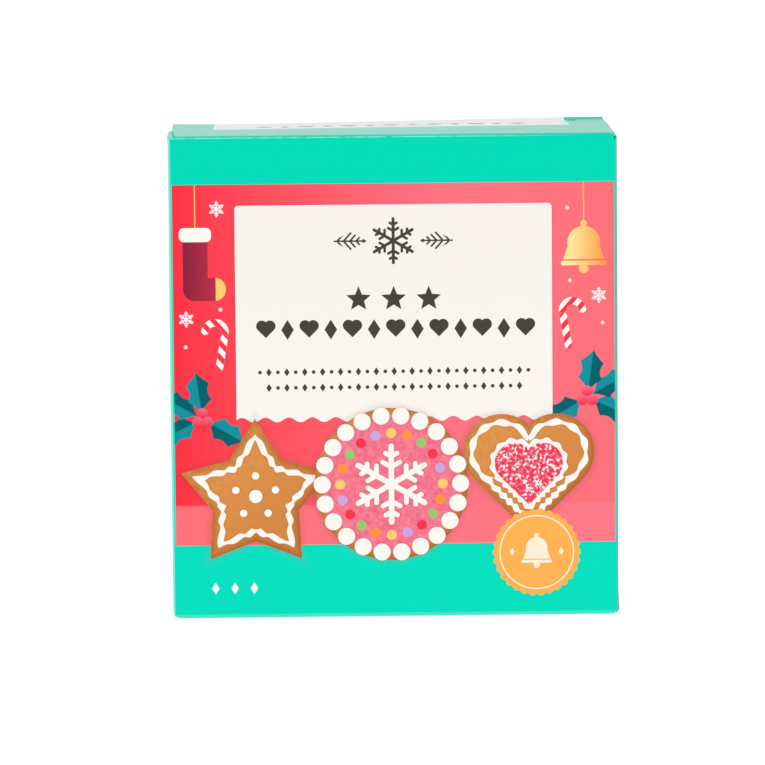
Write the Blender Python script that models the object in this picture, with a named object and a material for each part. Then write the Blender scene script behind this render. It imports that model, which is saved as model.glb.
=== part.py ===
"""A shut folding carton of printed paperboard, as one solid.

The carton is one folded blank. The lid is hinged on the back panel and its tuck flap is pushed down
behind the front panel, so the front panel's raw edge stands in front of the lid, with a narrow gap.
The base closes the other way round, hinged on the front panel and tucked in at the back.
The pack is shut and full, so it is solid all through and nothing moves.

Shapes are drawn in millimetres and turned into metres at the end.
X runs across the front, Y from the front to the back, Z up. The origin is under the middle of the base.
"""

import math

import bmesh
import bpy
from mathutils import Matrix, Vector

MM = 0.001

# Driving dimensions, in millimetres
WIDTH = 120.0
DEPTH = 60.0
HEIGHT = 130.0
BOARD = 0.45
FOLD_RADIUS = 0.7
HINGE_RADIUS = 0.8
GLUED_CORNER_RADIUS = 0.15

# The tuck: a gap between the lid's front fold and the raw edge of the front panel
TUCK_GAP = 0.3
TUCK_DEPTH = 2.4
RAW_EDGE_DROP = 0.4
RAW_EDGE_RADIUS = 0.3

# How far the lid's ends stop short of the side panels, at its front and at its hinge
LID_INSET_RIGHT = (0.7, 0.35)
LID_INSET_LEFT = (1.95, 0.35)
BASE_INSET = (1.4, 1.1)

# Beside the lid the dust flap slopes down to the side panel's fold: (share of the way out, drop)
FLAP_RIGHT = ((0.0, 0.5), (0.6, 0.62), (0.9, 0.84), (1.0, 1.1))
FLAP_LEFT = ((0.0, 1.2), (0.6, 1.4), (0.9, 1.85), (1.0, 2.3))
FLAP_SHOULDER = ((0.0, 0.15), (0.5, 0.2), (0.85, 0.35), (1.0, 0.7))
BASE_CORNER = ((0.0, 0.25), (0.35, 0.45), (0.7, 0.95), (0.9, 1.4), (1.0, 1.9))

# At the left the flap's front part has sprung up into a shoulder, which ends at this depth
SHOULDER_END = 0.0
SHOULDER_RUN = 0.5

# The front panel's corners, cut off at the top: (across, down)
RAW_CORNER_RIGHT = (1.6, 1.75)
RAW_CORNER_LEFT = (0.35, 0.35)
RAW_CORNER_BASE = (0.8, 0.8)

# The hinge's crease isn't level: (place across, height over the lid's front fold)
HINGE_LINE = ((-60.0, -0.27), (-48.0, -0.41), (-36.0, -0.41), (48.0, 0.68), (60.0, 0.68))

# At the right the lid lies lower than its raised crease, which stands behind it as a ridge
SINK_LEFT = 20.0
SINK_FULL = 51.0
SINK_FRONT = 0.0
SINK_BACK = (28.45, 28.7)
SINK_DEPTH = 0.86

# How the full pack swells and how its folds have strayed from square
PANEL_SWELL = 0.35
SIDE_SWELL = 0.55
SHOULDER_SWELL = 0.18
LID_SWELL = 0.2
TOP_FLARE_LEFT = 0.1
TOP_FLARE_HEIGHT = 4.0
FOOT_FLARE_RIGHT = 0.3
FOOT_FLARE_HEIGHT = 8.0

# The mesh
ARC_STEPS = 4
OVERSHOOT = 2.0
END_RUN = 1.5
SLICE = {"X": 10, "Y": 5, "Z": 10}

TEAL = (0.0, 0.69, 0.47, 1.0)
ROUGHNESS = 0.38

HALF_WIDTH = WIDTH / 2
HALF_DEPTH = DEPTH / 2


def arc(centre, radius, start, end, steps=ARC_STEPS):
    """Points on a circle, from one angle in degrees to another."""
    angles = [math.radians(start + (end - start) * i / steps) for i in range(steps + 1)]
    return [(centre[0] + radius * math.cos(a), centre[1] + radius * math.sin(a)) for a in angles]


def side_outline():
    """The outline seen from the right, as (Y, Z) points: folds, raw edges and tuck gaps."""
    raw_top = HEIGHT - RAW_EDGE_DROP
    behind_raw = HALF_DEPTH - BOARD
    tuck = behind_raw - TUCK_GAP
    top = [(-HALF_DEPTH, raw_top - RAW_EDGE_RADIUS)]
    top += arc((-HALF_DEPTH + RAW_EDGE_RADIUS, raw_top - RAW_EDGE_RADIUS), RAW_EDGE_RADIUS, 180, 90)[1:]
    top += [(-behind_raw, raw_top), (-behind_raw, HEIGHT - TUCK_DEPTH), (-tuck, HEIGHT - TUCK_DEPTH)]
    top += arc((-tuck + FOLD_RADIUS, HEIGHT - FOLD_RADIUS), FOLD_RADIUS, 180, 90)
    hinge = arc((HALF_DEPTH - HINGE_RADIUS, HEIGHT - HINGE_RADIUS), HINGE_RADIUS, 90, 0)
    base = [(HALF_DEPTH, RAW_EDGE_DROP), (behind_raw, RAW_EDGE_DROP)]
    base += [(behind_raw, TUCK_DEPTH), (tuck, TUCK_DEPTH)]
    base += arc((tuck - FOLD_RADIUS, FOLD_RADIUS), FOLD_RADIUS, 0, -90)
    base += arc((-HALF_DEPTH + HINGE_RADIUS, HINGE_RADIUS), HINGE_RADIUS, 270, 180)
    return top + hinge + base


def plan_outline():
    """The outline seen from above, as (X, Y) points, with a rounded fold at each corner but the glued one."""
    corners = (
        (1, -1, FOLD_RADIUS, -90),
        (1, 1, FOLD_RADIUS, 0),
        (-1, 1, GLUED_CORNER_RADIUS, 90),
        (-1, -1, FOLD_RADIUS, 180),
    )
    points = []
    for side_x, side_y, radius, start in corners:
        centre = (side_x * (HALF_WIDTH - radius), side_y * (HALF_DEPTH - radius))
        points += arc(centre, radius, start, start + 90)
    return points


def solid_between(name, first, last, middle=()):
    """A closed solid skinned over rings of points, with the first and the last ring filled."""
    mesh = bmesh.new()
    rings = [[mesh.verts.new(p) for p in ring] for ring in (first, *middle, last)]
    mesh.faces.new(rings[0])
    mesh.faces.new(rings[-1])
    count = len(first)
    for ring, following in zip(rings, rings[1:]):
        for i in range(count):
            j = (i + 1) % count
            mesh.faces.new((ring[i], ring[j], following[j], following[i]))
    bmesh.ops.recalc_face_normals(mesh, faces=mesh.faces)
    data = bpy.data.meshes.new(name)
    mesh.to_mesh(data)
    mesh.free()
    made = bpy.data.objects.new(name, data)
    bpy.context.scene.collection.objects.link(made)
    return made


def combine(body, tool, operation):
    """Applies one Boolean to the body and removes the tool."""
    modifier = body.modifiers.new(operation, "BOOLEAN")
    modifier.operation = operation
    modifier.solver = "EXACT"
    modifier.object = tool
    graph = bpy.context.evaluated_depsgraph_get()
    result = bpy.data.meshes.new_from_object(body.evaluated_get(graph))
    body.modifiers.clear()
    body.data = result
    bpy.data.objects.remove(tool)


def end_inset(insets, y):
    """How far a closing panel stops short of the side panel at depth y, between its two stated insets."""
    share = (y + HALF_DEPTH) / DEPTH
    return insets[0] + (insets[1] - insets[0]) * share


def end_notch(side, insets, stations, top=True):
    """The space beside one end of the lid or base, above the dust flap, whose slope is given at some depths."""

    def ring(y, slope):
        inset = end_inset(insets, y)
        inner = HALF_WIDTH - inset
        points = [(inner + share * inset, drop) for share, drop in slope]
        points += [(HALF_WIDTH + OVERSHOOT, slope[-1][1])]
        points += [(HALF_WIDTH + OVERSHOOT, -OVERSHOOT), (inner, -OVERSHOOT)]
        return [(side * x, y, HEIGHT - drop if top else drop) for x, drop in points]

    rings = [ring(y, slope) for y, slope in stations]
    return solid_between("end_notch", rings[0], rings[-1], rings[1:-1])


def raw_corner(side, cut, front=True):
    """The triangle cut off a corner of a panel's raw edge, at the top in front or at the base behind."""
    across, down = cut
    edge = RAW_EDGE_DROP
    points = [
        (HALF_WIDTH - across, edge),
        (HALF_WIDTH, edge + down),
        (HALF_WIDTH + OVERSHOOT, edge + down),
        (HALF_WIDTH + OVERSHOOT, -OVERSHOOT),
        (HALF_WIDTH - across, -OVERSHOOT),
    ]
    inside = HALF_DEPTH - BOARD - TUCK_GAP / 2
    outside = HALF_DEPTH + OVERSHOOT
    facing = -1 if front else 1

    def ring(y):
        return [(side * x, facing * y, HEIGHT - drop if front else drop) for x, drop in points]

    return solid_between("raw_corner", ring(inside), ring(outside))


def sunk_lid():
    """The space above the sunk part of the lid, in front of the ridge. It runs out to nothing at its left."""
    clear = 0.02

    def ring(x, depth):
        top = HEIGHT + OVERSHOOT
        foot, head = SINK_BACK
        points = [(SINK_FRONT, HEIGHT + clear), (foot, HEIGHT + clear - depth), (head, HEIGHT + clear)]
        points += [(head, top), (SINK_FRONT, top)]
        return [(x, y, z) for y, z in points]

    rings = [ring(SINK_FULL, SINK_DEPTH)]
    return solid_between("sunk_lid", ring(SINK_LEFT, 0.0), ring(HALF_WIDTH + OVERSHOOT, SINK_DEPTH), rings)


def slice_up(mesh):
    """Cuts flat faces into a grid, so that they can swell."""
    sizes = {"X": (-HALF_WIDTH, WIDTH), "Y": (-HALF_DEPTH, DEPTH), "Z": (0.0, HEIGHT)}
    for index, (axis, (start, length)) in enumerate(sizes.items()):
        normal = Vector((0, 0, 0))
        normal[index] = 1.0
        for i in range(1, SLICE[axis]):
            place = normal * (start + length * i / SLICE[axis])
            everything = mesh.verts[:] + mesh.edges[:] + mesh.faces[:]
            bmesh.ops.bisect_plane(mesh, geom=everything, plane_co=place, plane_no=normal, dist=1e-5)


def ease(value, start, end):
    """0 before start, 1 after end, with a smooth rise between."""
    share = min(max((value - start) / (end - start), 0.0), 1.0)
    return share * share * (3 - 2 * share)


def between(stations, place):
    """The amount at a place, on straight lines through the stated (place, amount) stations."""
    for (start, amount), (end, next_amount) in zip(stations, stations[1:]):
        if place <= end:
            share = max((place - start) / (end - start), 0.0)
            return amount + (next_amount - amount) * share
    return stations[-1][1]


def swollen(point):
    """Where a point of the square carton lies on the full and slightly strayed one."""
    x, y, z = point
    across = x / HALF_WIDTH
    back = y / HALF_DEPTH
    up = z / HEIGHT
    crown_x = max(1 - across * across, 0.0)
    crown_y = max(1 - back * back, 0.0)
    crown_z = max(4 * up * (1 - up), 0.0)
    lift = ease(z, HEIGHT / 2, HEIGHT)
    side_swell = SIDE_SWELL * crown_y * (0.35 + 0.65 * crown_z) * ease(z, 0.0, 3.0)
    top_left = TOP_FLARE_LEFT * ease(z, HEIGHT - TOP_FLARE_HEIGHT, HEIGHT) * ease(-across, 0.6, 1.0)
    foot_right = FOOT_FLARE_RIGHT * ease(-z, -FOOT_FLARE_HEIGHT, 0.0) * ease(across, 0.6, 1.0)
    shoulder = SHOULDER_SWELL * crown_y * ease(-across, 0.6, 1.0) * ease(z, HEIGHT * 0.8, HEIGHT)
    hinge = between(HINGE_LINE, x) * ease(back, -1.0, 1.0)
    moved_x = x + across * side_swell - top_left - shoulder + foot_right
    moved_y = y + back * PANEL_SWELL * crown_x * crown_z
    moved_z = z + lift * (LID_SWELL * crown_x * crown_y + hinge)
    return Vector((moved_x, moved_y, moved_z))


def paperboard():
    """Satin laminated board in the colour that covers most of the carton."""
    made = bpy.data.materials.new("printed_board")
    made.use_nodes = True
    shader = made.node_tree.nodes["Principled BSDF"]
    shader.inputs["Base Color"].default_value = TEAL
    shader.inputs["Roughness"].default_value = ROUGHNESS
    shader.inputs["Metallic"].default_value = 0.0
    made.diffuse_color = TEAL
    return made


def carton():
    """The whole carton: the side outline run across, trimmed to the plan, then notched and swollen."""
    outline = side_outline()
    left = [(-HALF_WIDTH, y, z) for y, z in outline]
    right = [(HALF_WIDTH, y, z) for y, z in outline]
    body = solid_between("carton", left, right)

    plan = plan_outline()
    under = [(x, y, -OVERSHOOT) for x, y in plan]
    over = [(x, y, HEIGHT + OVERSHOOT) for x, y in plan]
    combine(body, solid_between("plan", under, over), "INTERSECT")
    combine(body, sunk_lid(), "DIFFERENCE")

    gap_middle = HALF_DEPTH - BOARD - TUCK_GAP / 2
    beyond = HALF_DEPTH + OVERSHOOT
    right_flap = [(y, FLAP_RIGHT) for y in (-gap_middle, -gap_middle + END_RUN, beyond)]
    left_flap = [(y, FLAP_SHOULDER) for y in (-gap_middle, -gap_middle + END_RUN, SHOULDER_END)]
    left_flap += [(y, FLAP_LEFT) for y in (SHOULDER_END + SHOULDER_RUN, beyond)]
    base_end = [(y, BASE_CORNER) for y in (-beyond, gap_middle - END_RUN, gap_middle)]
    tools = [
        end_notch(1, LID_INSET_RIGHT, right_flap),
        end_notch(-1, LID_INSET_LEFT, left_flap),
        end_notch(1, BASE_INSET, base_end, top=False),
        end_notch(-1, BASE_INSET, base_end, top=False),
        raw_corner(1, RAW_CORNER_RIGHT),
        raw_corner(-1, RAW_CORNER_LEFT),
        raw_corner(1, RAW_CORNER_BASE, front=False),
        raw_corner(-1, RAW_CORNER_BASE, front=False),
    ]
    for tool in tools:
        combine(body, tool, "DIFFERENCE")

    mesh = bmesh.new()
    mesh.from_mesh(body.data)
    slice_up(mesh)
    for vertex in mesh.verts:
        vertex.co = swollen(vertex.co)
    bmesh.ops.triangulate(mesh, faces=mesh.faces)
    mesh.to_mesh(body.data)
    mesh.free()
    body.data.transform(Matrix.Scale(MM, 4))
    body.data.materials.clear()
    body.data.materials.append(paperboard())
    body.data.shade_smooth()
    body.data.set_sharp_from_angle(angle=math.radians(30))
    return body


for old in list(bpy.data.objects):
    bpy.data.objects.remove(old)

made = carton()
print(made.name, len(made.data.vertices), "points", len(made.data.polygons), "triangles")
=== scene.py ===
# %% [markdown]
# # A shut folding carton of printed board
#
# This carton is one folded sheet of paperboard, about half a millimetre thick, printed and laminated on
# its outer side and white inside. It was full and shut when it was looked at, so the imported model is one
# plain solid. Here that solid is dressed with the real panels: each is a thin curved sheet with a printed
# face, a white back and a cut edge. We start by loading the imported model, which says where everything is.

# %% Load the frame
import math

import bpy
import numpy as np
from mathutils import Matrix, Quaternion, Vector


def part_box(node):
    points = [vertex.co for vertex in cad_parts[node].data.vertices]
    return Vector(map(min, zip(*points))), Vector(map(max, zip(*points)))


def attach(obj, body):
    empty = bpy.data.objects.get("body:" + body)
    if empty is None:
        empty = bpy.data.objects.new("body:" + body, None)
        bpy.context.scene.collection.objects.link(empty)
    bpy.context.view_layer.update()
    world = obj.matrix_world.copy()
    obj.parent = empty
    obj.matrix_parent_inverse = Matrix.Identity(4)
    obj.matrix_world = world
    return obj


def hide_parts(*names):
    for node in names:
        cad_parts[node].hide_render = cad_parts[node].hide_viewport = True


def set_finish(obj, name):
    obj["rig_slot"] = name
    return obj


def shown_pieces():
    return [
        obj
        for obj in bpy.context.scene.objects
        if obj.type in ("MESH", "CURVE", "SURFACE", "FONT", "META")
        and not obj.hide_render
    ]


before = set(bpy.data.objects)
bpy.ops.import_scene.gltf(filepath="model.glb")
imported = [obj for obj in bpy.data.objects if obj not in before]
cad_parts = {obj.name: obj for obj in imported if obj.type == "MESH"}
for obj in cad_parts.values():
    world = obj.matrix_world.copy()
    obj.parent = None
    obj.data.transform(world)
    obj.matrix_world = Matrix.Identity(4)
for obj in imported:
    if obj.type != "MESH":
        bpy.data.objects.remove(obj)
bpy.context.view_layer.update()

solid_low, solid_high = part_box("carton")
print("the packed solid measures", [round(v * 1000, 2) for v in solid_high - solid_low], "mm")

# %% [markdown]
# ## Sizes
#
# The carton is drawn in millimetres, because that is how a maker of cartons thinks, and it is turned into
# metres when a mesh is made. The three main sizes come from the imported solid: its box less what the full
# pack swells. The folds, gaps and insets are the same named values as in the solid.

# %% Driving sizes, in millimetres
MM = 0.001
PANEL_SWELL, SIDE_SWELL, SHOULDER_SWELL, LID_SWELL = 0.35, 0.55, 0.18, 0.2
HINGE_PLACES, HINGE_HEIGHTS = (-60.0, -48.0, -36.0, 48.0, 60.0), (-0.27, -0.41, -0.41, 0.68, 0.68)
solid_size = (solid_high - solid_low) / MM
WIDTH = float(round(solid_size.x - 2 * SIDE_SWELL))
DEPTH = float(round(solid_size.y - 2 * PANEL_SWELL))
HEIGHT = float(round(solid_size.z - max(HINGE_HEIGHTS)))
HALF_WIDTH, HALF_DEPTH = WIDTH / 2, DEPTH / 2
BOARD = 0.45
FOLD_RADIUS, HINGE_RADIUS, GLUE_RADIUS = 0.7, 0.8, 0.35
TUCK_GAP, RAW_EDGE_DROP = 0.3, 0.4
LID_INSET_RIGHT, LID_INSET_LEFT, BASE_INSET = (0.7, 0.35), (1.95, 0.35), (1.4, 1.1)
CUT_CORNER_RIGHT, CUT_CORNER_LEFT, CUT_CORNER_BASE = (1.6, 1.75), (0.35, 0.35), (0.8, 0.8)
print("carton", WIDTH, "x", DEPTH, "x", HEIGHT, "mm before it swells")

# %% [markdown]
# ## A full pack isn't square
#
# The bags inside push the panels out, and the lid's hinge runs from a little low at the left to a little
# high at the right. All panels pass through one function that moves points, so two panels that meet before
# the move still meet after it. Bending each panel by itself would open gaps along the folds.

# %% Where a point of the square carton lies on the full one
SINK_LEFT, SINK_FULL, SINK_BACK, SINK_DEPTH = 20.0, 51.0, (28.45, 28.7), 0.86
TOP_FLARE, TOP_FLARE_HEIGHT = 0.1, 4.0
FOOT_FLARE, FOOT_FLARE_HEIGHT = 0.3, 8.0


def ease(value, start, end):
    """0 before start and 1 after end, with a smooth rise between: 3 s squared less 2 s cubed."""
    share = np.clip((value - start) / (end - start), 0.0, 1.0)
    return share * share * (3 - 2 * share)


def swollen(points):
    """Moves an array of points: parabolas push the panels out, and smooth steps add the stray folds."""
    x, y, z = points[..., 0], points[..., 1], points[..., 2]
    across, back, up = x / HALF_WIDTH, y / HALF_DEPTH, z / HEIGHT
    crown_x, crown_y = np.maximum(1 - across**2, 0), np.maximum(1 - back**2, 0)
    crown_z = np.maximum(4 * up * (1 - up), 0)
    side = SIDE_SWELL * crown_y * (0.35 + 0.65 * crown_z) * ease(z, 0.0, 3.0)
    top_left = TOP_FLARE * ease(z, HEIGHT - TOP_FLARE_HEIGHT, HEIGHT) * ease(-across, 0.6, 1.0)
    shoulder = SHOULDER_SWELL * crown_y * ease(-across, 0.6, 1.0) * ease(z, HEIGHT * 0.8, HEIGHT)
    foot = FOOT_FLARE * ease(-z, -FOOT_FLARE_HEIGHT, 0.0) * ease(across, 0.6, 1.0)
    hinge = np.interp(x, HINGE_PLACES, HINGE_HEIGHTS) * ease(back, -1.0, 1.0)
    lift = ease(z, HEIGHT / 2, HEIGHT) * (LID_SWELL * crown_x * crown_y + hinge)
    moved_y = y + back * PANEL_SWELL * crown_x * crown_z
    return np.stack([x + across * side - top_left - shoulder + foot, moved_y, z + lift], axis=-1)


print("the middle of the right side moves out to", swollen(np.array([HALF_WIDTH, 0.0, HEIGHT / 2]))[0])

# %% [markdown]
# ## From a surface to a sheet of board
#
# A panel is given as a grid of points on its outer face, its columns running to the right and its rows
# upwards as seen from outside. Board has a thickness, so the grid is offset inwards along its normals,
# and the two are joined all round by a rim. Where the board was die cut the rim is rounded, because the
# cutting rule crushes it. Where one panel runs on into the next, the rim is flat. A Solidify modifier
# could give the thickness, but not the rounded edge or a different finish on it.

# %% Board of real thickness
RIM_STEPS = 8
CUT_NOSE = 0.12
SHARP_ANGLE = math.radians(35)


def unit(vectors):
    """The same directions with length 1."""
    return vectors / np.maximum(np.linalg.norm(vectors, axis=-1, keepdims=True), 1e-9)


def round_the_rim(grid):
    """The border of a grid as one loop: bottom row, right column, top row, left column."""
    return np.concatenate([grid[0, :-1], grid[:-1, -1], grid[-1, :0:-1], grid[:0:-1, 0]])


def rim_push(along, up, noses):
    """For each border point, how far the cut edge bulges out: the sum over the sides it lies on."""
    push = np.zeros_like(along)
    bottom, right, top, left = noses
    push[0] -= bottom * up[0]
    push[:, -1] += right * along[:, -1]
    push[-1] += top * up[-1]
    push[:, 0] -= left * along[:, 0]
    return round_the_rim(push)


def board(name, flat_grid, noses=(0, 0, 0, 0)):
    """A closed sheet: outer grid, the same grid moved in by the board's thickness, and half an ellipse
    round the rim, whose half axes are half the thickness and the nose (bottom, right, top, left)."""
    outer = swollen(flat_grid)
    along, up = unit(np.gradient(outer, axis=1)), unit(np.gradient(outer, axis=0))
    normal = unit(np.cross(along, up))
    inner = outer - BOARD * normal
    edge_out, edge_in, push = round_the_rim(outer), round_the_rim(inner), rim_push(along, up, noses)
    turn = np.linspace(0, math.pi, RIM_STEPS + 1)[1:-1, None, None]
    rim = (edge_out + edge_in) / 2 + (edge_out - edge_in) / 2 * np.cos(turn) + push * np.sin(turn)
    points = np.concatenate([outer.reshape(-1, 3), inner.reshape(-1, 3), rim.reshape(-1, 3)])
    rows, columns = outer.shape[:2]
    number = np.arange(rows * columns).reshape(rows, columns)
    a, b, c, d = number[:-1, :-1], number[:-1, 1:], number[1:, 1:], number[1:, :-1]
    face_out = np.stack([a, b, c, d], axis=-1).reshape(-1, 4)
    face_in = face_out[:, ::-1] + rows * columns
    loop = round_the_rim(number)
    rings = np.arange(len(loop) * (RIM_STEPS - 1)).reshape(RIM_STEPS - 1, -1) + 2 * rows * columns
    rings = np.concatenate([loop[None], rings, loop[None] + rows * columns])
    following = np.roll(rings, -1, axis=1)
    face_rim = np.stack([rings[:-1], rings[1:], following[1:], following[:-1]], axis=-1).reshape(-1, 4)
    mesh = bpy.data.meshes.new(name)
    mesh.from_pydata((points * MM).tolist(), [], np.concatenate([face_out, face_in, face_rim]).tolist())
    cut_sides = np.repeat(np.array(noses) > 0, [columns - 1, rows - 1, columns - 1, rows - 1])
    finish = np.concatenate([np.zeros(len(face_out)), np.ones(len(face_in)), np.tile(cut_sides, RIM_STEPS)])
    finish = finish.astype(np.int32)
    mesh.polygons.foreach_set("material_index", finish)
    mesh.shade_smooth()
    mesh.set_sharp_from_angle(angle=SHARP_ANGLE)
    piece = bpy.data.objects.new(name, mesh)
    bpy.context.scene.collection.objects.link(piece)
    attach(piece, "root")
    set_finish(piece, "printed_board")
    print(name, rows, "by", columns, "points,", 2 * len(mesh.polygons), "triangles")
    return piece


# %% [markdown]
# ## Lines to run the panels along
#
# Every panel is a straight run with a rounded fold at one or both ends. So two helpers are enough: a
# circular arc, and a straight line that keeps a point at each place where something happens.

# %% Lines and arcs
ARC_STEPS = 8


def arc(centre, radius, start, end, steps=ARC_STEPS):
    """Points on a circle: the centre plus the radius times cosine and sine, from start to end degrees."""
    angle = np.radians(np.linspace(start, end, steps + 1))
    return np.stack([centre[0] + radius * np.cos(angle), centre[1] + radius * np.sin(angle)], axis=1)


def stops(first, last, steps, *kept):
    """Even steps from first to last, with the kept places put in between."""
    places = np.union1d(np.linspace(min(first, last), max(first, last), steps + 1), kept)
    return places if last > first else places[::-1]


def level(places, height):
    """A straight run of points at one height, or one depth."""
    return np.stack([places, np.full(len(places), float(height))], axis=1)


def chain(*parts):
    """Several runs joined end to end, without the doubled points."""
    return np.concatenate([parts[0]] + [part[1:] for part in parts[1:]])


def wall(plan, low, high, rows):
    """A standing panel over a line in plan: each column rises in even shares from low to high."""
    share = np.linspace(0, 1, rows + 1)[:, None]
    z = low + (high - low) * share
    x, y = np.broadcast_to(plan[:, 0], z.shape), np.broadcast_to(plan[:, 1], z.shape)
    return np.stack([x, y, z], axis=-1)


def closing_panel(profile, left, right, columns):
    """A lid or base: each row of its profile reaches in even shares from its left end to its right end."""
    share = np.linspace(0, 1, columns + 1)[None, :]
    x = left[:, None] + (right - left)[:, None] * share
    y, z = np.broadcast_to(profile[:, :1], x.shape), np.broadcast_to(profile[:, 1:], x.shape)
    return np.stack([x, y, z], axis=-1)


# %% [markdown]
# ## The front panel
#
# The front panel carries the picture. Both its upright folds belong to it here, so the print can run
# round them. Its top edge is cut, stands free in front of the lid, and has one corner cut off. At the
# foot it runs on into the base, and its lower corners are rounded off where the base's flaps fold in.

# %% Front panel
fold_x, fold_y = HALF_WIDTH - FOLD_RADIUS, HALF_DEPTH - FOLD_RADIUS
base_end = HALF_WIDTH - BASE_INSET[0]
RAW_NOSE = 0.3
CORNER_LOW, CORNER_HIGH = 0.25, 1.9


def cut_corner(distance, cut):
    """How much a corner cut takes off at a distance from the middle: a straight slope over its width."""
    return cut[1] * np.clip((distance - (HALF_WIDTH - cut[0])) / cut[0], 0, 1)


def foot_line(distance):
    """The front panel's lower line: level at the base's fold, then a quarter ellipse up to the corner."""
    share = np.clip((distance - base_end) / BASE_INSET[0], 0, 1)
    corner = CORNER_HIGH - (CORNER_HIGH - CORNER_LOW) * np.sqrt(1 - share**2)
    return np.where(distance > base_end + 0.01, corner, HINGE_RADIUS)


front_stops = stops(-fold_x, fold_x, 84, -base_end - 0.02, -base_end, base_end, base_end + 0.02, 58.4)
front_plan = chain(
    arc((-fold_x, -fold_y), FOLD_RADIUS, 180, 270),
    level(front_stops, -HALF_DEPTH),
    arc((fold_x, -fold_y), FOLD_RADIUS, 270, 360),
)
front_x = front_plan[:, 0]
front_top = HEIGHT - RAW_EDGE_DROP - RAW_NOSE
front_top = front_top - cut_corner(front_x, CUT_CORNER_RIGHT) - cut_corner(-front_x, CUT_CORNER_LEFT)
front_panel = board(
    "front_panel", wall(front_plan, foot_line(np.abs(front_x)), front_top, 90), (0, 0, RAW_NOSE, 0)
)
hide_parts("carton")

# %% [markdown]
# ## The sides and the back
#
# The sides end above and below in creases, where the dust flaps turn in. At the left the front of the
# lid's dust flap has sprung up into a shoulder and the rest of it has sunk, so the crease has a step. The
# sheet is closed into a tube by one glued seam, at the back left corner: the left side ends there in a cut
# edge, and the back panel turns in behind it. The seam costs two small radii, and real cartons have it.

# %% Side panels and back panel
CREASE_RIGHT, CREASE_LEFT, CREASE_SHOULDER = 1.1, 2.3, 0.7
SHOULDER_END, SHOULDER_RUN = 0.0, 0.5
inner_x = HALF_WIDTH - BOARD


def along_left(y, shoulder, behind):
    """A size of the left side: one value along the shoulder, another behind it, with a short smooth step."""
    return shoulder + (behind - shoulder) * ease(y, SHOULDER_END, SHOULDER_END + SHOULDER_RUN)


side_stops = stops(-fold_y, fold_y, 44)
side_plan = np.stack([np.full(len(side_stops), HALF_WIDTH), side_stops], axis=1)
side_foot = np.full(len(side_stops), CORNER_HIGH)
right_top = np.full(len(side_stops), HEIGHT - CREASE_RIGHT)
right_side = board("right_side", wall(side_plan, side_foot, right_top, 70))

glued_end = HALF_DEPTH - 0.03 - CUT_NOSE
left_stops = stops(glued_end, -fold_y, 44, SHOULDER_END, SHOULDER_END + SHOULDER_RUN)
left_plan = np.stack([np.full(len(left_stops), -HALF_WIDTH), left_stops], axis=1)
left_foot = np.full(len(left_stops), CORNER_HIGH)
left_top = HEIGHT - along_left(left_stops, CREASE_SHOULDER, CREASE_LEFT)
left_side = board("left_side", wall(left_plan, left_foot, left_top, 70), (0, 0, 0, CUT_NOSE))

back_plan = chain(
    arc((fold_x, fold_y), FOLD_RADIUS, 0, 90),
    level(stops(fold_x, -inner_x + GLUE_RADIUS, 80), HALF_DEPTH),
    arc((-inner_x + GLUE_RADIUS, HALF_DEPTH - GLUE_RADIUS), GLUE_RADIUS, 90, 180),
)
back_x = back_plan[:, 0]
back_foot = RAW_EDGE_DROP + CUT_NOSE + cut_corner(np.abs(back_x), CUT_CORNER_BASE)


def rounded_off(distance, inset, crease):
    """How far the hinge's end drops to the side's crease: a quarter ellipse over the lid's inset."""
    share = np.clip((distance - (HALF_WIDTH - inset)) / inset, 0, 1)
    return (crease - HINGE_RADIUS) * (1 - np.sqrt(1 - share**2))


back_top = HEIGHT - HINGE_RADIUS - rounded_off(back_x, LID_INSET_RIGHT[1], CREASE_RIGHT)
back_top = back_top - rounded_off(-back_x, LID_INSET_LEFT[1], CREASE_LEFT)
back_panel = board("back_panel", wall(back_plan, back_foot, back_top, 80), (CUT_NOSE, 0, 0, 0))

# %% [markdown]
# ## The lid and the base
#
# The lid is hinged on the back panel and its tuck flap goes down behind the front panel. It is a little
# narrower than the carton, and its ends slant, so that it passes between the sides when it is shut. At
# the back right it lies lower than its raised crease, which stands behind it as a small ridge. The base
# closes the other way round. It is cut from the same profile idea: straight runs and quarter arcs.

# %% Lid and base
TUCK_REACH = 6.0
tuck_y = HALF_DEPTH - BOARD - TUCK_GAP
hinge_y = HALF_DEPTH - HINGE_RADIUS


def end_inset(insets, y):
    """How far a closing panel stops short of the side: it changes evenly from the front to the back."""
    return insets[0] + (insets[1] - insets[0]) * (y + HALF_DEPTH) / DEPTH


def sunk(x, y):
    """The depth of the sunk place: it grows to the right and to the back, and ends at the ridge."""
    depth = SINK_DEPTH * np.clip((x - SINK_LEFT) / (SINK_FULL - SINK_LEFT), 0, 1)
    return depth * np.interp(y, [0.0, SINK_BACK[0], SINK_BACK[1]], [0.0, 1.0, 0.0], right=0.0)


lid_profile = chain(
    np.stack([np.full(9, -tuck_y), np.linspace(HEIGHT - TUCK_REACH, HEIGHT - FOLD_RADIUS, 9)], axis=1),
    arc((-tuck_y + FOLD_RADIUS, HEIGHT - FOLD_RADIUS), FOLD_RADIUS, 180, 90),
    level(stops(-tuck_y + FOLD_RADIUS, hinge_y, 60, 0.0, *SINK_BACK, 28.35, 28.55, 28.85), HEIGHT),
    arc((hinge_y, HEIGHT - HINGE_RADIUS), HINGE_RADIUS, 90, 0),
)
lid_y = lid_profile[:, 0]
lid_grid = closing_panel(
    lid_profile,
    -(HALF_WIDTH - end_inset(LID_INSET_LEFT, lid_y) - CUT_NOSE),
    HALF_WIDTH - end_inset(LID_INSET_RIGHT, lid_y) - CUT_NOSE,
    96,
)
lid_grid[..., 2] -= sunk(lid_grid[..., 0], lid_grid[..., 1])
lid = board("lid", lid_grid, (CUT_NOSE, CUT_NOSE, 0, CUT_NOSE))

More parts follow.
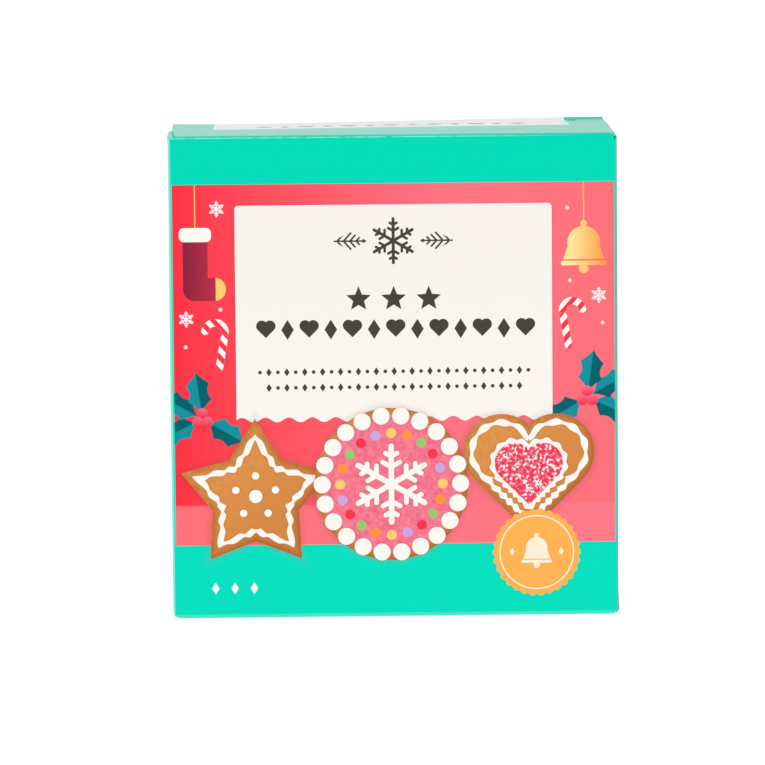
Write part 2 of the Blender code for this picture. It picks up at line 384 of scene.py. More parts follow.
base_profile = chain(
    np.stack([np.full(9, tuck_y), np.linspace(TUCK_REACH, FOLD_RADIUS, 9)], axis=1),
    arc((tuck_y - FOLD_RADIUS, FOLD_RADIUS), FOLD_RADIUS, 0, -90),
    level(stops(tuck_y - FOLD_RADIUS, -hinge_y, 40), 0.0),
    arc((-hinge_y, HINGE_RADIUS), HINGE_RADIUS, 270, 180),
)
base_reach = HALF_WIDTH - end_inset(BASE_INSET, base_profile[:, 0]) - CUT_NOSE
base = board(
    "base", closing_panel(base_profile, -base_reach, base_reach, 80), (CUT_NOSE, CUT_NOSE, 0, CUT_NOSE)
)

# %% [markdown]
# ## The dust flaps
#
# Beside each end of the lid and the base a narrow strip of dust flap shows: it turns in from the side
# panel's crease and slips under the closing panel. A quarter ellipse gives the turn, and a level run goes
# on inside, so that nobody can look into the carton through the slit.

# %% Dust flaps
FLAP_DROP, SHOULDER_DROP, SUNK_DROP = 0.5, 0.15, 1.2
FLAP_REACH = 8.0
TURN_STEPS = 12


def dust_flap(name, side, top, places, insets, crease, inner):
    """A flap: share = cosine and height = sine of a quarter turn, between the crease's drop and the drop
    at the closing panel's end, and then a level run inwards, just clear of the closing panel."""
    y = places[None, :]
    turn = np.linspace(0, math.pi / 2, TURN_STEPS + 1)[:, None]
    inset, crease, inner = end_inset(insets, y), crease[None, :], inner[None, :]
    under = np.maximum(inner, FLAP_DROP)
    x_turn = HALF_WIDTH - inset * (1 - np.cos(turn))
    drop_turn = crease - (crease - inner) * np.sin(turn) + (under - inner) * ease(np.cos(turn), 0.5, 0.0)
    reach = np.linspace(0, FLAP_REACH, 7)[1:, None]
    x = np.concatenate([x_turn, HALF_WIDTH - inset - reach])
    drop = np.concatenate([drop_turn, np.broadcast_to(under, (6, len(places)))])
    grid = np.stack([side * x, np.broadcast_to(y, x.shape), HEIGHT - drop if top else drop], axis=-1)
    return board(name, grid if top else grid[::-1])


def even(value):
    """The same number at every place along a flap."""
    return np.full(len(side_stops), float(value))


flap_stops = left_stops[left_stops < tuck_y]
left_crease = along_left(flap_stops, CREASE_SHOULDER, CREASE_LEFT)
left_inner = along_left(flap_stops, SHOULDER_DROP, SUNK_DROP)
dust_flap("dust_flap_top_right", 1, True, side_stops, LID_INSET_RIGHT, even(CREASE_RIGHT), even(FLAP_DROP))
dust_flap("dust_flap_top_left", -1, True, flap_stops, LID_INSET_LEFT, left_crease, left_inner)
dust_flap("dust_flap_base_right", 1, False, side_stops, BASE_INSET, even(CORNER_HIGH), even(FLAP_DROP))
dust_flap("dust_flap_base_left", -1, False, side_stops[::-1], BASE_INSET, even(CORNER_HIGH), even(FLAP_DROP))

# %% [markdown]
# ## Writing a finish as arithmetic
#
# A print is flat colour with clean edges. An image would go soft up close, so each shape is a formula
# instead: its signed distance, negative inside, positive outside. One class wraps a node's output, so that
# plain arithmetic on it adds the Math nodes. Another holds the material, adds any other node, and keeps
# the colour painted so far, which every new shape is laid over.

# %% Numbers that change over a surface
class Value:
    """A number that changes over a surface. Arithmetic on it adds Math nodes."""

    def __init__(self, finish, socket):
        self.finish, self.socket = finish, socket

    def maths(self, operation, *others, clamp=False):
        settings = {"operation": operation, "use_clamp": clamp}
        return self.finish.node("ShaderNodeMath", settings, dict(enumerate((self, *others))))

    def __add__(self, other):
        return self.maths("ADD", other)

    def __sub__(self, other):
        return self.maths("SUBTRACT", other)

    def __rsub__(self, other):
        return self.finish.number("SUBTRACT", other, self)

    def __mul__(self, other):
        return self.maths("MULTIPLY", other)

    def __truediv__(self, other):
        return self.maths("DIVIDE", other)

    def __neg__(self):
        return self.maths("MULTIPLY", -1.0)

    __radd__, __rmul__ = __add__, __mul__

    def size(self):
        return self.maths("ABSOLUTE")

    def least(self, other):
        return self.maths("MINIMUM", other)

    def most(self, other):
        return self.maths("MAXIMUM", other)

    def nearest(self, period):
        """Distance from the nearest whole multiple of the period."""
        return self.maths("PINGPONG", period / 2)

    def ink(self, soft=0.09):
        """A signed distance in millimetres as a mask: 1 inside, 0 outside, with an edge this soft."""
        return self.maths("MULTIPLY_ADD", -1.0 / soft, 0.5, clamp=True)

    def share(self, start, end):
        """0 at start and 1 at end, evenly between, and held beyond them."""
        return self.maths("MULTIPLY_ADD", 1.0 / (end - start), -start / (end - start), clamp=True)


# %% [markdown]
# Colours are named as a printer's proof would be read, in the 0 to 255 scale of a screen, and turned into
# the light that Blender reckons with. The film on the board mirrors little where it is seen square on.

# %% The finish of one material
ROUGHNESS = 0.36
SQUARE_ON, GRAZING = 0.03, 0.9


def tint(red, green, blue):
    """Screen colour to light: the standard curve, a power of 2.4 above a short straight start."""
    channels = np.array([red, green, blue]) / 255
    light = np.where(channels > 0.04045, ((channels + 0.055) / 1.055) ** 2.4, channels / 12.92)
    return (*(float(c) for c in light), 1.0)


class Finish:
    """One material: its nodes, and the colour that has been painted so far."""

    def __init__(self, name, roughness=ROUGHNESS, specular=SQUARE_ON):
        self.material = bpy.data.materials.new(name)
        self.material.use_nodes = True
        self.tree = self.material.node_tree
        self.shader = self.tree.nodes["Principled BSDF"]
        self.shader.inputs["Roughness"].default_value = roughness
        self.shader.inputs["Specular IOR Level"].default_value = specular
        where = self.node("ShaderNodeTexCoord", output="Object")
        scaled = self.node("ShaderNodeVectorMath", {"operation": "SCALE"}, {0: where, "Scale": 1 / MM})
        self.where = scaled
        self.x = self.node("ShaderNodeSeparateXYZ", {}, {0: scaled}, "X")
        self.y = self.node("ShaderNodeSeparateXYZ", {}, {0: scaled}, "Y")
        self.z = self.node("ShaderNodeSeparateXYZ", {}, {0: scaled}, "Z")
        self.colour = None

    def node(self, kind, settings=None, sockets=None, output=0):
        """Adds a node: first its settings, then the values or links of its sockets."""
        made = self.tree.nodes.new(kind)
        for key, value in (settings or {}).items():
            if key == "stops":
                self.set_stops(made.color_ramp, value)
            else:
                setattr(made, key, value)
        for key, value in (sockets or {}).items():
            if isinstance(value, Value):
                self.tree.links.new(value.socket, made.inputs[key])
            else:
                made.inputs[key].default_value = value
        return Value(self, made.outputs[output])

    def set_stops(self, ramp, stops):
        """The colours of a ramp, each with its place from 0 to 1."""
        while len(ramp.elements) < len(stops):
            ramp.elements.new(0.5)
        for element, (place, colour) in zip(ramp.elements, stops):
            element.position, element.color = place, colour

    def number(self, operation, *values):
        """A Math node whose first value may be a plain number."""
        return self.node("ShaderNodeMath", {"operation": operation}, dict(enumerate(values)))

    def mixed(self, mask, under, over):
        """One colour over another, as far as the mask says."""
        settings = {"data_type": "RGBA", "clamp_factor": True}
        return self.node("ShaderNodeMix", settings, {0: mask, 6: under, 7: over}, output=2)

    def lay(self, mask, colour):
        """Prints a colour over what is there."""
        self.colour = self.mixed(mask, self.colour, colour)

    def noise(self, size, detail=2.0, where=None):
        """Soft noise from 0 to 1, whose lumps are about this many millimetres across."""
        sockets = {"Vector": where or self.where, "Scale": 1.0 / size, "Detail": detail}
        return self.node("ShaderNodeTexNoise", {}, sockets)

    def done(self, bump=0.0, grain=0.5):
        """Links the colour, and a faint relief of the board's fibres, to the shader."""
        self.tree.links.new(self.colour.socket, self.shader.inputs["Base Color"])
        if bump:
            relief = self.noise(grain, 3.0)
            settings = {0: bump, 1: 0.1 * MM}
            made = self.node("ShaderNodeBump", {}, {**settings, "Height": relief})
            self.tree.links.new(made.socket, self.shader.inputs["Normal"])
        print("finish", self.material.name, "has", len(self.tree.nodes), "nodes")
        return self.material


# %% [markdown]
# ## Shapes for printing
#
# A Place is a point of the print, seen from the middle of one motif. Moving, turning and mirroring change
# the point, not the shape, so a motif is written once, at the origin. A fan folds the plane round the
# middle like a paper snowflake: one arm or petal is drawn, and all the others appear.

# %% Places and distances
class Place:
    """Where a point of the print lies from a motif's middle, in millimetres."""

    def __init__(self, x, y):
        self.x, self.y = x, y

    def at(self, x, y):
        return Place(self.x - x, self.y - y)

    def turned(self, degrees):
        """The motif turned to the left: the point is turned to the right, by cosine and sine."""
        c, s = math.cos(math.radians(degrees)), math.sin(math.radians(degrees))
        return Place(self.x * c + self.y * s, self.y * c - self.x * s)

    def mirrored(self):
        return Place(self.x.size(), self.y)

    def reach(self):
        """Distance from the middle: the root of x squared plus y squared."""
        return (self.x * self.x + self.y * self.y).maths("SQRT")

    def fan(self, count, start=0.0):
        """Folds the plane into one sector, its middle line along x: the angle to the nearest arm."""
        sector = 2 * math.pi / count
        angle = (self.y.maths("ARCTAN2", self.x) - start).nearest(sector)
        reach = self.reach()
        return Place(reach * angle.maths("COSINE"), reach * angle.maths("SINE"))

    def row(self, period):
        """Repeats a motif along x."""
        return Place(self.x.nearest(period), self.y)

    def disc(self, radius):
        return self.reach() - radius

    def bar(self, half_width, half_height, corner=0.3):
        """A rounded rectangle: the distance outside its inner rectangle, less the corner radius."""
        across = (self.x.size() - (half_width - corner)).most(0.0)
        up = (self.y.size() - (half_height - corner)).most(0.0)
        return Place(across, up).disc(corner)

    def diamond(self, half_width, half_height):
        """x over its half width plus y over its half height is 1 on the outline."""
        steep = math.hypot(1 / half_width, 1 / half_height)
        return (self.x.size() / half_width + self.y.size() / half_height - 1.0) / steep

    def heart(self, half):
        """A square on its tip, with a half disc on each of its two upper sides."""
        folded = self.mirrored()
        lobe = folded.at(half / 2, half / 2).disc(half / math.sqrt(2))
        return folded.diamond(half, half).least(lobe)

    def star(self, points, outer, inner):
        """One side of a ray, as a straight line from its tip to the notch, fanned round the middle."""
        ray = self.fan(points, math.pi / 2)
        notch_x, notch_y = inner * math.cos(math.pi / points), inner * math.sin(math.pi / points)
        along = math.hypot(outer - notch_x, notch_y)
        return ((ray.x - outer) * notch_y + ray.y * (outer - notch_x)) / along

    def snowflake(self, radius, thick):
        """Six arms, each with two pairs of twigs that slant outwards at sixty degrees."""
        arm = self.fan(6, math.pi / 2)
        flake = arm.at(radius / 2, 0).bar(radius / 2, thick, thick)
        for share, length in ((0.42, 0.3), (0.68, 0.22)):
            twig = arm.at(radius * share, 0).turned(60).at(radius * length / 2, 0)
            flake = flake.least(twig.bar(radius * length / 2, thick * 0.85, thick * 0.8))
        return flake

    def holly(self, length, half_width):
        """A leaf along x: the overlap of two discs, with a hollow bitten out between each two spines."""
        radius = (length**2 / 4 + half_width**2) / (2 * half_width)
        lens = Place(self.x, self.y.size()).at(0, half_width - radius).disc(radius)
        spine = self.x.nearest(length / 3) / (length / 6)
        return lens + (1.0 - spine * spine) * (half_width * 0.3)

    def cane(self, length, hook, thick):
        """A stick up the y axis, half a ring over its top end, and a round tip."""
        ring = self.at(-hook, length)
        crook = (ring.disc(hook).size() - thick).most(-ring.y)
        tip = self.at(-2 * hook, length).disc(thick)
        return self.at(0, length / 2).bar(thick, length / 2, thick).least(crook).least(tip)

    def bell(self, size):
        """A dome, a flared skirt, a lip, a clapper and a loop, drawn once and then scaled."""
        small = Place(self.x / size, self.y / size)
        dome = small.at(0, 0.8).disc(2.9).most(small.y * -1.0 - 0.2)
        skirt = (small.x.size() - 2.9 + small.y * 0.35).most(small.y.size() - 2.2).most(small.y - 0.9)
        body = dome.least(skirt).least(small.at(0, -2.9).bar(4.1, 0.42, 0.4))
        return body.least(small.at(0, -3.9).disc(0.85)).least(small.at(0, 4.2).disc(0.6)) * size


# %% [markdown]
# ## The front print
#
# Two flat teal bands hold a red field that is lighter to the right, with a pink strip as its floor. A cream
# label with a wavy lower edge hangs in front. The rest is traditional winter ornament: holly, candy canes,
# a bell, a stocking, snowflakes and iced gingerbread biscuits. Rows of small hearts, stars and diamonds in
# the same dark ink as a heading fill the label.

# %% Colours of the print
TEAL = tint(0, 218, 184)
TEAL_LOW = tint(1, 223, 192)
# The two fold colours are painted light: a paler painted highlight and a darker painted shade.
FOLD_HIGHLIGHT, FOLD_SHADE = tint(166, 232, 226), tint(126, 172, 156)
RED, ROSE = tint(250, 48, 66), tint(254, 90, 104)
PALE_ROSE, ROSE_END = tint(254, 116, 131), tint(251, 112, 121)
REDS = [(0.0, RED), (0.34, ROSE), (0.62, PALE_ROSE), (1.0, ROSE_END)]
FLOOR_LEFT, FLOOR_RIGHT = tint(253, 112, 118), tint(255, 122, 136)
CREAM, CREAM_LOW, WHITE = tint(245, 240, 234), tint(248, 243, 238), tint(250, 252, 252)
INK, SHADE = tint(72, 68, 58), tint(110, 56, 62)
WINE, WINE_LIT = tint(136, 36, 62), tint(196, 50, 72)
LEAF_DARK, LEAF_LIGHT = tint(0, 98, 108), tint(22, 144, 158)
GOLD_LIT, GOLD, ORANGE = tint(255, 238, 158), tint(254, 206, 110), tint(253, 150, 60)
BERRY, PINK = tint(244, 56, 76), tint(240, 112, 142)
LILAC, LIME = tint(202, 166, 226), tint(150, 202, 112)
BISCUIT, BISCUIT_EDGE, BISCUIT_LIT = tint(214, 136, 68), tint(158, 80, 36), tint(242, 176, 98)
ICING = tint(250, 247, 240)
GLAZE, GLAZE_EDGE = tint(250, 132, 154), tint(240, 106, 132)
SEAL, SEAL_LINE = tint(253, 178, 84), tint(254, 240, 214)
SNOW = tint(250, 236, 238)

# %% The printed ground of the front
RED_LOW, RED_HIGH, FLOOR_HIGH = 19.8, 117.0, 30.6
RED_END_LEFT, RED_END_RIGHT = -59.04, 59.19

front_print = Finish("print_front")
spot = Place(front_print.x, front_print.z)
across = front_print.x.share(-HALF_WIDTH, HALF_WIDTH)
front_print.colour = front_print.node("ShaderNodeValToRGB", {"stops": REDS}, {0: across})
floor = front_print.mixed(across, FLOOR_LEFT, FLOOR_RIGHT)
front_print.lay((front_print.z - FLOOR_HIGH).ink(0.4), floor)


# %% [markdown]
# Both margins beside the label are laid out alike, as on a garland: something hangs from the top band on a
# thread, a candy cane leans below it, and a sprig of holly closes the foot. A holly leaf is two-tone, as if
# it were folded along its middle, so flat ink still looks bent.

# %% Holly, canes, a bell and a stocking
def print_holly(finish, place, length, turns):
    """Leaves that fan out from one point, each with a dark and a light half, and three berries over it."""
    for degrees in turns:
        blade = place.turned(degrees).at(length * 0.56, 0)
        halves = finish.mixed(blade.y.share(-0.15, 0.15), LEAF_DARK, LEAF_LIGHT)
        finish.lay(blade.holly(length, length * 0.27).ink(), halves)
    for step in range(3):
        angle = math.radians(90 + 120 * step)
        berry = place.at(length * 0.12 * math.cos(angle), length * 0.12 * math.sin(angle))
        finish.lay(berry.disc(length * 0.115).ink(), finish.mixed(berry.y.share(-1.0, 1.6), BERRY, PINK))


def print_cane(finish, place, length, hook, thick):
    """A white cane with red stripes along x plus y."""
    cane = place.cane(length, hook, thick)
    finish.lay(cane.ink(), ICING)
    finish.lay(cane.most((place.x * 0.8 + place.y).nearest(3.4) - 0.85).ink(), BERRY)


def print_stocking(finish, place):
    """A leg and a foot as rounded bars, with a gold toe and a white cuff."""
    sock = place.bar(3.3, 8.0, 1.0).least(place.at(2.4, -7.0).bar(5.7, 3.1, 3.0))
    finish.lay(sock.ink(), finish.mixed(place.x.share(-3.0, 7.0), WINE, WINE_LIT))
    finish.lay(sock.most(5.4 - place.x).ink(), GOLD)
    finish.lay(place.at(0, 7.6).bar(4.3, 1.9, 1.4).ink(), ICING)


def print_thread(finish, place):
    """A thread from this place up to the top band."""
    finish.lay(place.at(0, 10.0).bar(0.14, 10.0, 0.1).ink(), GOLD)


print_thread(front_print, spot.at(-53.0, 104.0))
print_stocking(front_print, spot.at(-53.0, 96.0))
print_thread(front_print, spot.at(51.0, 106.0))
bell_place = spot.at(51.0, 99.5)
bell_gold = front_print.mixed(bell_place.x.share(-5.0, 6.0), GOLD_LIT, ORANGE)
front_print.lay(bell_place.bell(1.5).ink(), bell_gold)
print_cane(front_print, spot.at(-47.0, 67.0).turned(-10), 10.0, 2.7, 1.0)
print_cane(front_print, Place(spot.x * -1.0, spot.y).at(-47.0, 72.0).turned(-10), 10.0, 2.7, 1.0)
print_holly(front_print, spot.at(-51.5, 54.0), 13.0, (205, 330, 150, 98))
print_holly(front_print, spot.at(51.8, 59.0), 13.0, (210, 335, 30, 82))
for flake_x, flake_z in ((-47.2, 110.5), (-55.6, 81.0), (55.0, 86.5)):
    front_print.lay(spot.at(flake_x, flake_z).snowflake(2.2, 0.22).ink(), SNOW)
for dot_x, dot_z in ((-46.4, 83.5), (-55.8, 73.5), (47.2, 90.5), (56.0, 79.0), (46.6, 110.0)):
    front_print.lay(spot.at(dot_x, dot_z).disc(0.5).ink(), SNOW)

# %% [markdown]
# The label is a plain cream field. Its ornaments keep to five rows, as lines of a heading would.

# %% Label
LABEL_LEFT, LABEL_RIGHT, LABEL_TOP = -42.4, 42.45, 111.35
WAVE_MIDDLE, WAVE_DEEP, WAVE_PERIOD = 53.65, 0.65, 6.3

label_middle = (LABEL_LEFT + LABEL_RIGHT) / 2
label_half = (LABEL_RIGHT - LABEL_LEFT) / 2
label_tall = (LABEL_TOP - 40.0) / 2
label = spot.at(label_middle, LABEL_TOP - label_tall).bar(label_half, label_tall, 1.0)
wave = (front_print.x * (2 * math.pi / WAVE_PERIOD)).maths("COSINE") * WAVE_DEEP
label = label.most(wave * -1.0 + WAVE_MIDDLE - front_print.z)
front_print.lay(label.ink(2.0) * 0.18, SHADE)
front_print.lay(label.ink(), front_print.mixed(front_print.z.share(60.0, 110.0), CREAM_LOW, CREAM))

crown = spot.at(0, 101.6)
front_print.lay(crown.snowflake(6.3, 0.42).ink(), INK)
sprig = crown.mirrored().at(11.6, 0)
needle = (sprig.x + sprig.y.size() * 0.9).nearest(1.7) - 0.34
leaf = needle.most(sprig.diamond(4.6, 2.5))
front_print.lay(leaf.least(sprig.bar(4.4, 0.22, 0.2)).ink(), INK)


def alternating(place, period, half_length, even, odd):
    """One motif at each whole multiple of the period and another halfway, kept to a length."""
    between = Place((place.x + period / 2).nearest(period), place.y)
    return even(place.row(period)).least(odd(between)).most(place.bar(half_length, 6.0))


heading = spot.at(0, 86.0)
front_print.lay(heading.row(9.4).star(5, 3.5, 1.55).most(heading.bar(14.0, 5.0)).ink(), INK)
title = alternating(spot.at(0.5, 77.9), 11.6, 38.0, lambda p: p.heart(2.15), lambda p: p.diamond(1.7, 2.7))
front_print.lay(title.ink(), INK)
for line_z, half_length in ((66.5, 37.2), (62.3, 35.0)):
    small = alternating(spot.at(0, line_z), 4.8, half_length, lambda p: p.diamond(0.75, 1.1), lambda p: p.disc(0.5))
    front_print.lay(small.ink(), INK)

# %% [markdown]
# The two teal bands are printed over the red field. Three iced biscuits lie over the label and the lower
# band: a round one with pink glaze in the middle, a gingerbread star at its left and a heart at its right.
# A soft dark halo under each shape sets it off from what is behind, as a photographed biscuit's shadow
# does. The crumb is noise.

# %% Bands and biscuits
front_print.lay((front_print.z * -1.0 + RED_HIGH).ink(), TEAL)
front_print.lay((front_print.z - RED_LOW).ink(), TEAL_LOW)


def print_biscuit(finish, place, shape, crumb):
    """A baked shape: halo, body, darker rim, and a crumbly light on its upper left side."""
    lit = (place.y - place.x).share(-14.0, 26.0) * crumb.share(0.2, 0.7)
    finish.lay(shape.ink(3.6) * 0.35, SHADE)
    finish.lay(shape.ink(0.12), BISCUIT)
    finish.lay(shape.ink(0.12) * (shape + 1.3).share(-1.2, 1.4) * 0.75, BISCUIT_EDGE)
    finish.lay(shape.ink(0.12) * lit * 0.45, BISCUIT_LIT)


def print_icing(finish, shape):
    """Piped icing: a soft brown shade round it, then white."""
    finish.lay(shape.ink(1.1) * 0.5, BISCUIT_EDGE)
    finish.lay(shape.ink(0.12), ICING)


def ripple(place):
    """The uneven flow of a piped line: a cosine of the angle round the motif."""
    return (place.y.maths("ARCTAN2", place.x) * 22.0).maths("COSINE") * 0.3


crumb = front_print.noise(1.1, 3.0)
star_place, heart_place, round_place = spot.at(-37.5, 33.0), spot.at(36.0, 37.0), spot.at(-1.0, 36.0)

star_biscuit = star_place.star(5, 18.0, 10.4) - 1.6
print_biscuit(front_print, star_place, star_biscuit, crumb)
print_icing(front_print, (star_biscuit + 2.6).size() - 0.7 - ripple(star_place))
print_icing(front_print, star_place.fan(5, math.pi / 2).at(5.6, 0).disc(1.0).least(star_place.disc(1.8)))

heart_biscuit = heart_place.heart(14.6)
print_biscuit(front_print, heart_place, heart_biscuit, crumb)
print_icing(front_print, (heart_biscuit + 2.3).size() - 0.7 - ripple(heart_place))
sugared = heart_place.at(0, 0.6).heart(7.6)
print_icing(front_print, sugared - 1.2 - ripple(heart_place))
sugar = front_print.noise(0.8, 1.0)
front_print.lay(sugared.ink(0.3), PINK)
front_print.lay(sugared.ink(0.3) * sugar.share(0.5, 0.56), BERRY)
front_print.lay(sugared.ink(0.3) * sugar.share(0.42, 0.38), ICING)

print_biscuit(front_print, round_place, round_place.disc(20.6), crumb)
glaze = round_place.disc(18.8)
front_print.lay(glaze.ink(0.2), front_print.mixed(crumb.share(0.35, 0.65), GLAZE_EDGE, GLAZE))
print_icing(front_print, round_place.fan(22).at(18.6, 0).disc(2.3))
print_icing(front_print, round_place.snowflake(11.0, 0.75))
for shift, bead in enumerate((GOLD, LILAC, BERRY, LIME, ORANGE)):
    ring = round_place.fan(4, math.radians(18.0 * shift)).at(13.8, 0).disc(1.35)
    front_print.lay(ring.ink(0.8) * 0.35, GLAZE_EDGE)
    front_print.lay(ring.ink(), bead)

# %% [markdown]
# Last comes a round seal with a scalloped rim and a bell. Where the red field ends the teal shows as a
# narrow strip along each fold, and the folds themselves catch a little more or less light.

# %% Edges and seal
SEAL_PLACE, SEAL_RADIUS, RING_RADIUS = (38.0, 17.1), 11.6, 9.9

front_print.lay((front_print.x - RED_END_LEFT).ink(), TEAL)
front_print.lay((front_print.x * -1.0 + RED_END_RIGHT).ink(), TEAL)
# Painted light on the folds: a painted highlight on the left fold, a painted shade on the right fold, and a faint
# painted highlight along the foot's fold.
front_print.lay((front_print.x + 59.5).ink(0.3) * 0.8, FOLD_HIGHLIGHT)
front_print.lay((front_print.x * -1.0 + 59.6).ink(0.3) * 0.8, FOLD_SHADE)
front_print.lay((front_print.z - 0.9).ink(0.5) * 0.35, FOLD_HIGHLIGHT)

seal = spot.at(*SEAL_PLACE)
scallop = (seal.y.maths("ARCTAN2", seal.x) * 30.0).maths("COSINE") * 0.28
seal_disc = seal.disc(SEAL_RADIUS) - scallop
front_print.lay(seal_disc.ink(), SEAL)
front_print.lay((seal.disc(RING_RADIUS).size() - 0.18).ink(), SEAL_LINE)
front_print.lay(seal.at(0, 0.4).bell(1.0).ink(), SEAL_LINE)
front_print.lay(seal.mirrored().at(6.6, 0.2).diamond(0.7, 1.1).ink(), SEAL_LINE)

weight_row = spot.at(-43.3, 8.1)
front_print.lay(weight_row.row(5.2).diamond(1.0, 1.6).most(weight_row.bar(6.8, 2.4)).ink(), ICING)

# %% [markdown]
# ## The other prints
#
# Only the front and the lid were seen. The lid is teal with a cream field that runs back to the hinge,
# and one row of dark ornaments. The back, sides and base are made up, in the same colours and more plainly.

# %% Lid, back, side and base prints
FIELD_LEFT, FIELD_RIGHT, FIELD_FRONT = -48.2, 48.9, -1.0
lid_print = Finish("print_lid", roughness=0.25, specular=GRAZING)
lid_spot = Place(lid_print.x, lid_print.y)
field_half = (FIELD_RIGHT - FIELD_LEFT) / 2
field = lid_spot.at((FIELD_LEFT + FIELD_RIGHT) / 2, FIELD_FRONT + 40.0).bar(field_half, 40.0, 1.0)
lid_print.colour = lid_print.mixed(field.ink(), TEAL, WHITE)
lid_marks = alternating(lid_spot.at(0.4, 8.0), 11.6, 38.0, lambda p: p.heart(2.0), lambda p: p.diamond(1.6, 2.5))
lid_print.lay(lid_marks.ink(), INK)

back_print = Finish("print_back")
back_spot = Place(back_print.x * -1.0, back_print.z)
back_across = back_print.x.share(HALF_WIDTH, -HALF_WIDTH)
back_print.colour = back_print.node("ShaderNodeValToRGB", {"stops": REDS}, {0: back_across})
middle_spot = back_spot.at(0, 68.5)
margin = middle_spot.mirrored().at(51.6, 0)
columns = Place(margin.x, margin.y.nearest(13.0)).snowflake(2.4, 0.22)
rows = Place(middle_spot.x.nearest(13.0), middle_spot.y.size() - 43.3).snowflake(2.4, 0.22)
back_print.lay(columns.least(rows.most(middle_spot.bar(45.0, 50.0))).ink(), SNOW)
back_label = middle_spot.bar(44.0, 38.0, 1.0)
back_print.lay(back_label.ink(), CREAM)
back_print.lay((middle_spot.bar(41.5, 35.5, 1.0).size() - 0.25).ink(), BERRY)
back_print.lay(back_spot.at(0, 82.0).snowflake(14.0, 0.9).ink(), INK)
back_row = back_spot.at(0, 50.0)
back_print.lay(back_row.row(10.0).heart(2.3).most(back_row.bar(34.0, 5.0)).ink(), BERRY)
back_print.lay((back_print.z * -1.0 + RED_HIGH).ink().maths("MAXIMUM", (back_print.z - RED_LOW).ink()), TEAL)
back_print.lay((back_print.x.size() * -1.0 + RED_END_RIGHT).ink(), TEAL)

side_print = Finish("print_side")
side_spot = Place(side_print.y, side_print.z)
side_print.colour = side_print.mixed(side_print.z.share(0.0, HEIGHT), TEAL_LOW, TEAL)
panel = side_spot.at(0, 68.0).bar(21.0, 34.0, 1.0)
side_print.lay(panel.ink(), CREAM)
side_print.lay((side_spot.at(0, 68.0).bar(18.8, 31.8, 0.8).size() - 0.22).ink(), BERRY)
side_print.lay(side_spot.at(0, 85.0).snowflake(9.0, 0.6).ink(), INK)
print_holly(side_print, side_spot.at(0, 50.0), 16.0, (20, 160, 90))
side_row = side_spot.at(0, 19.0)
side_print.lay(side_row.row(8.0).diamond(1.2, 2.0).most(side_row.bar(22.0, 4.0)).ink(), ICING)

plain_print = Finish("print_plain", roughness=0.25, specular=GRAZING)
plain_print.colour = plain_print.mixed(plain_print.noise(9.0), TEAL, TEAL_LOW)

# %% [markdown]
# ## Cut board
#
# The board's core is pale, and its cut edge is rough with fibres. Its cyan white is partly that core and partly a
# painted highlight along the rounded cut edges. The cutting rule has dragged the ink of the printed face over it,
# all the way at the right of the front, where the painted highlight fades out, and in patches elsewhere.

# %% Cut board and laminate
# The pale core colour is also a painted highlight on the cut edges; the mask shows it in noisy patches and fades it
# out towards the right.
CORE_AND_HIGHLIGHT = tint(122, 244, 222)
raw_board = Finish("cut_board", roughness=0.7)
core_and_highlight = raw_board.noise(2.5, 4.0).share(0.64, 0.46) * raw_board.x.share(50.0, 15.0)
raw_board.colour = raw_board.mixed(core_and_highlight, TEAL_LOW, CORE_AND_HIGHLIGHT)
finishes = {
    "front_panel": front_print, "lid": lid_print, "back_panel": back_print,
    "right_side": side_print, "left_side": side_print,
}
made = {finish: finish.done(bump=0.06) for finish in (front_print, lid_print, back_print, side_print, plain_print)}
cut = raw_board.done(bump=0.3, grain=0.15)
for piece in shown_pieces():
    if "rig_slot" in piece:
        piece.data.materials.append(made[finishes.get(piece.name, plain_print)])
        piece.data.materials.append(cut)
print("finishes given to", len([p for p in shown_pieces() if "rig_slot" in p]), "pieces")

# %% [markdown]
# ## Floor, light and camera
#
# The carton was photographed on white, in light so soft that it throws hardly a shadow. A white world
# gives that, and a weak, broad sun low in front adds a little to the front. The floor is a lit sheet, as in
# a product photographer's tent. The camera stands far off with a long lens, so the carton's upright edges
# stay nearly parallel.

# %% Floor and light
FLOOR_SIZE, FLOOR_LEVEL = 20.0, -0.05 * MM
WORLD_LIGHT, SUN_LIGHT, SUN_ANGLE, FLOOR_GLOW = 0.82, 0.25, math.radians(55), 0.8

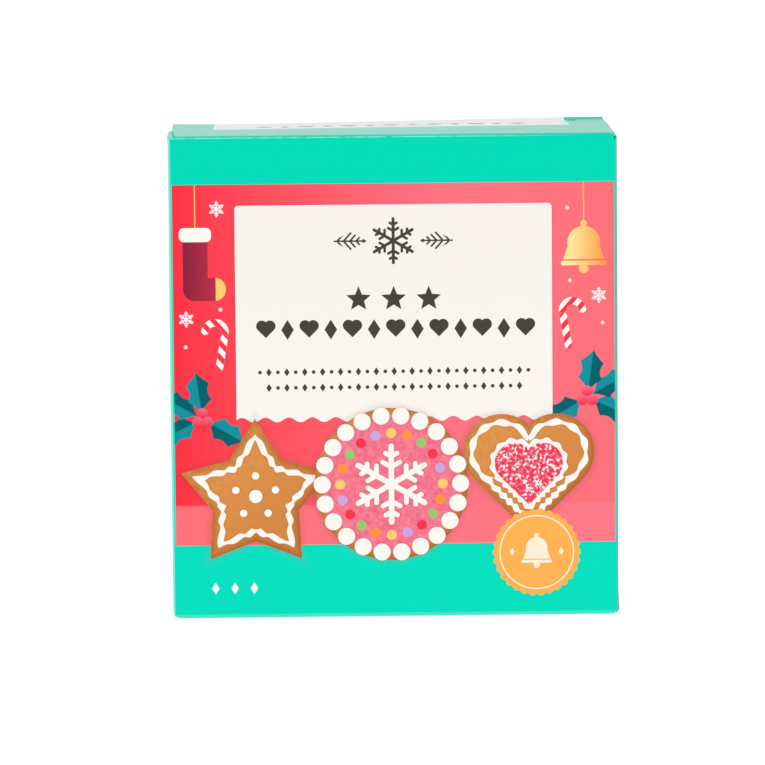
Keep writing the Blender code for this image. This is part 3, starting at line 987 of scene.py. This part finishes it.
floor_mesh = bpy.data.meshes.new("floor")
around = ((-1, -1), (1, -1), (1, 1), (-1, 1))
corners = [(FLOOR_SIZE * x, FLOOR_SIZE * y, FLOOR_LEVEL) for x, y in around]
floor_mesh.from_pydata(corners, [], [(0, 1, 2, 3)])
ground = bpy.data.objects.new("floor", floor_mesh)
bpy.context.scene.collection.objects.link(ground)
paper = Finish("floor_paper", roughness=0.9, specular=0.1)
paper.colour = paper.mixed(paper.noise(60.0), tint(160, 160, 160), tint(164, 164, 164))
paper.shader.inputs["Emission Color"].default_value = (1, 1, 1, 1)
paper.shader.inputs["Emission Strength"].default_value = FLOOR_GLOW
floor_mesh.materials.append(paper.done())

world = bpy.data.worlds.new("studio")
bpy.context.scene.world = world
world.use_nodes = True
background = world.node_tree.nodes["Background"]
background.inputs["Color"].default_value = (1, 1, 1, 1)
background.inputs["Strength"].default_value = WORLD_LIGHT

sun = bpy.data.lights.new("soft_sun", "SUN")
sun.energy, sun.angle = SUN_LIGHT, SUN_ANGLE
lamp = bpy.data.objects.new("soft_sun", sun)
lamp.rotation_mode = "QUATERNION"
lamp.rotation_quaternion = Vector((-0.3, -0.95, 0.3)).to_track_quat("Z", "Y")
bpy.context.scene.collection.objects.link(lamp)
bpy.context.scene.view_settings.view_transform = "Standard"
print("world", WORLD_LIGHT, "and sun", SUN_LIGHT)

# %% Camera
VIEW_AZIMUTH, VIEW_ELEVATION, VIEW_ROLL = math.radians(-1.113), math.radians(6.072), math.radians(-0.473)
VIEW_DISTANCE, SENSOR = 1478.36, 36.0
AIM_SIDE, AIM_DOWN = -2.640, -4.834
FOCAL_PIXELS, FRAME_PIXELS = 5400.0, 765.0

middle = Vector((0, 0, HEIGHT / 2))
backwards = Vector((
    math.sin(VIEW_AZIMUTH) * math.cos(VIEW_ELEVATION),
    -math.cos(VIEW_AZIMUTH) * math.cos(VIEW_ELEVATION),
    math.sin(VIEW_ELEVATION),
))
stand = middle + backwards * VIEW_DISTANCE
aim = middle + Vector((AIM_SIDE, 0, AIM_DOWN))
camera = bpy.data.objects.new("camera", bpy.data.cameras.new("camera"))
camera.data.sensor_width = SENSOR
camera.data.lens = FOCAL_PIXELS * SENSOR / FRAME_PIXELS
camera.location = stand * MM
camera.rotation_mode = "QUATERNION"
looking = (aim - stand).to_track_quat("-Z", "Y")
camera.rotation_quaternion = looking @ Quaternion((0, 0, 1), VIEW_ROLL)
camera.data.clip_start, camera.data.clip_end = 0.05, 60.0
bpy.context.scene.collection.objects.link(camera)
bpy.context.scene.camera = camera
print("camera at", [round(v, 4) for v in camera.location], "lens", round(camera.data.lens, 1), "mm")
